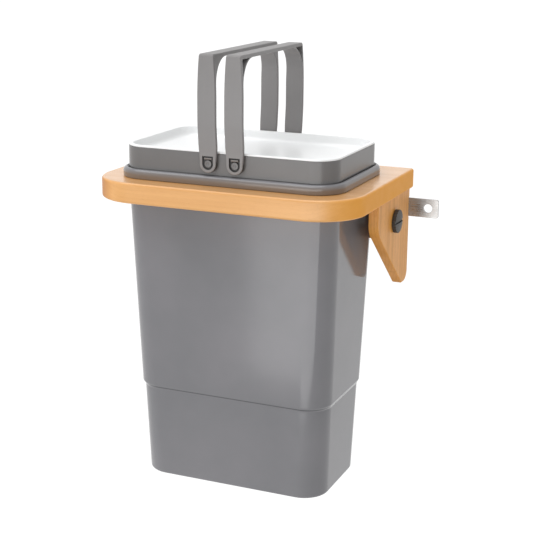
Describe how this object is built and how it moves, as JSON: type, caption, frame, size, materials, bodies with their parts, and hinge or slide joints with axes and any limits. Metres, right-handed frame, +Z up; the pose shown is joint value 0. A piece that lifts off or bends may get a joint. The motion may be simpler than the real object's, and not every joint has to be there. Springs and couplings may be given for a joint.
{
  "type": "door-mounted trash can",
  "caption": "Grey kitchen bin with a lift-out pail, swing bails and a white lid, hanging in a wooden shelf that steel brackets fix to a cupboard door.",
  "frame": {"origin": "on the door's face, midway between the centres of the two door screw holes", "axes": "+X along the door to the right as seen from the cupboard, +Y into the door, +Z up"},
  "size_m": [0.3074, 0.1835, 0.4087],
  "materials": {
    "beech": "satin lacquer",
    "dowel": "bare",
    "steel": "brushed zinc",
    "knob_plastic": "matte",
    "grey_plastic": "fine matte",
    "white_plastic": "satin"
  },
  "bodies": {
    "shelf": {"shelf_plate": "beech", "corbel_left": "beech", "corbel_right": "beech", "back_rail": "beech", "rail_dowels": "dowel", "corbel_dowels_left": "dowel", "corbel_dowels_right": "dowel", "rail_end_dowels_left": "dowel", "rail_end_dowels_right": "dowel", "door_bracket_left": "steel", "door_bracket_right": "steel", "clamp_washer_left": "steel", "clamp_washer_right": "steel", "clamp_nut_left": "steel", "clamp_nut_right": "steel"},
    "knob_left": {"clamp_knob_left": "knob_plastic", "clamp_stud_left": "steel"},
    "knob_right": {"clamp_knob_right": "knob_plastic", "clamp_stud_right": "steel"},
    "bin": {"outer_bin": "grey_plastic"},
    "pail": {"inner_pail": "grey_plastic"},
    "bail_left": {"bail_left": "grey_plastic"},
    "bail_right": {"bail_right": "grey_plastic"},
    "lid": {"lid": "white_plastic"}
  },
  "joints": [
    {"name": "bin_lift", "type": "slide", "parent": "shelf", "child": "bin", "axis": [0, 0, 1], "range_m": [0, 0.3]},
    {"name": "pail_lift", "type": "slide", "parent": "bin", "child": "pail", "axis": [0, 0, 1], "range_m": [0, 0.305]},
    {"name": "lid_lift", "type": "slide", "parent": "pail", "child": "lid", "axis": [0, 0, 1], "range_m": [0, 0.055]},
    {"name": "bail_right_swing", "type": "hinge", "parent": "pail", "child": "bail_right", "pos_m": [0.013, -0.09405, 0.0575], "axis": [0, 1, 0], "range_deg": [-3, 90]},
    {"name": "bail_left_swing", "type": "hinge", "parent": "pail", "child": "bail_left", "pos_m": [-0.013, -0.09405, 0.0575], "axis": [0, -1, 0], "range_deg": [-3, 90]},
    {"name": "knob_right_turn", "type": "hinge", "parent": "shelf", "child": "knob_right", "pos_m": [0.1242, -0.0439, -0.0053], "axis": [1, 0, 0], "range_deg": [0, 360]},
    {"name": "knob_left_turn", "type": "hinge", "parent": "shelf", "child": "knob_left", "pos_m": [-0.1242, -0.0439, -0.0053], "axis": [-1, 0, 0], "range_deg": [0, 360]}
  ]
}
